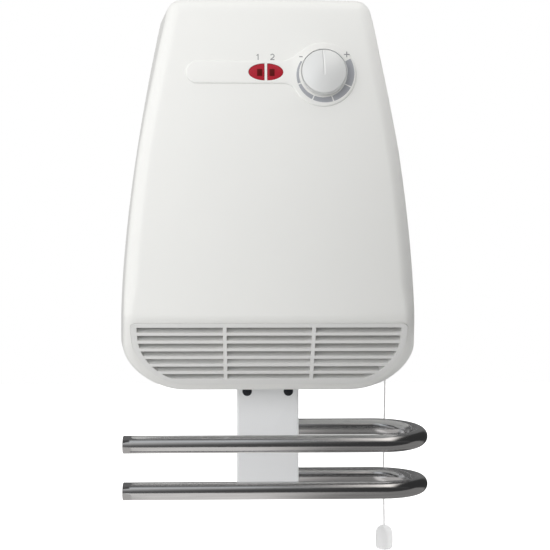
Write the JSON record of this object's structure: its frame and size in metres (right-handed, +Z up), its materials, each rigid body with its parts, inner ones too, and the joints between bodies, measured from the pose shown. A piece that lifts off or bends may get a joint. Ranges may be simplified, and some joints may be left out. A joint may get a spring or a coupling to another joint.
{
  "type": "wall fan heater",
  "caption": "Bathroom wall fan heater: tapered white casing, slotted down-flow outlet, thermostat knob, signal lenses, pull cord and J-shaped towel rails below.",
  "frame": {"origin": "on the wall face, at the middle of the casing's width and near its mid height", "axes": "+X to the right seen from the room, +Y into the wall, +Z up"},
  "size_m": [0.295, 0.1279, 0.5344],
  "materials": {
    "white_shell": "satin moulded ABS",
    "white_trim": "moulded",
    "cord": "braided nylon",
    "red_lens": "tinted clear",
    "lamp_glass": "clear",
    "knob": "satin moulded ABS",
    "dark_plastic": "moulded",
    "black_rubber": "matte",
    "zinc_steel": "zinc plated",
    "lamination": "stacked laminations",
    "copper_winding": "taped winding",
    "bronze": "sintered",
    "impeller_aluminium": "rolled",
    "fin_aluminium": "rolled",
    "mica_board": "pressed board",
    "terminal_plastic": "moulded",
    "white_sheet": "powder coat",
    "polished_steel": "polished stainless"
  },
  "bodies": {
    "root": {"rear_housing": "white_shell", "front_cover": "white_shell", "outlet_grille": "white_shell", "inlet_grille": "white_shell", "lens_left": "red_lens", "lens_right": "red_lens", "lamp_left": "lamp_glass", "lamp_right": "lamp_glass", "lamp_holder": "dark_plastic", "thermostat_body": "dark_plastic", "thermostat_nut": "zinc_steel", "control_bracket": "zinc_steel", "control_screws": "zinc_steel", "terminal_block": "terminal_plastic", "cable_grommet": "black_rubber", "pull_switch_body": "dark_plastic", "plunger_spring": "zinc_steel", "switch_screws": "zinc_steel", "cord_guide": "white_trim", "fan_scroll": "zinc_steel", "fan_tongue": "zinc_steel", "duct_side_left": "zinc_steel", "duct_side_right": "zinc_steel", "bearing_bush": "bronze", "bearing_mount": "black_rubber", "motor_stator": "lamination", "motor_coil": "copper_winding", "motor_bracket_inner": "zinc_steel", "motor_bracket_outer": "zinc_steel", "motor_screws": "zinc_steel", "motor_spacers": "black_rubber", "element_frame": "mica_board", "heating_bar_rear": "fin_aluminium", "heating_bar_front": "fin_aluminium", "thermal_cutout": "dark_plastic", "thermal_fuse": "zinc_steel", "towel_rail_bracket": "white_sheet", "upper_rail": "polished_steel", "lower_rail": "polished_steel", "rail_end_caps": "black_rubber", "rail_inserts": "zinc_steel", "rail_screws": "zinc_steel", "bracket_plugs": "black_rubber", "bracket_screws": "zinc_steel", "case_screws": "zinc_steel"},
    "knob": {"thermostat_knob": "knob", "thermostat_spindle": "zinc_steel"},
    "fan": {"fan_impeller": "impeller_aluminium", "impeller_hub": "black_rubber", "fan_stub_shaft": "zinc_steel", "motor_shaft": "zinc_steel", "motor_rotor": "zinc_steel"},
    "pull": {"switch_plunger": "white_trim", "pull_cord": "cord", "cord_pull": "white_trim"}
  },
  "joints": [
    {"name": "thermostat_turn", "type": "hinge", "parent": "root", "child": "knob", "pos_m": [0.0493, -0.10723, 0.1086], "axis": [0, -0.9925, 0.1219], "range_deg": [0, 296]},
    {"name": "fan_spin", "type": "hinge", "parent": "root", "child": "fan", "pos_m": [0, -0.062, -0.035], "axis": [1, 0, 0], "continuous": true},
    {"name": "cord_pull_slide", "type": "slide", "parent": "root", "child": "pull", "axis": [0, 0, -1], "range_m": [0, 0.01], "stiffness_N_per_m": 1200, "deforming": ["plunger_spring"]}
  ]
}
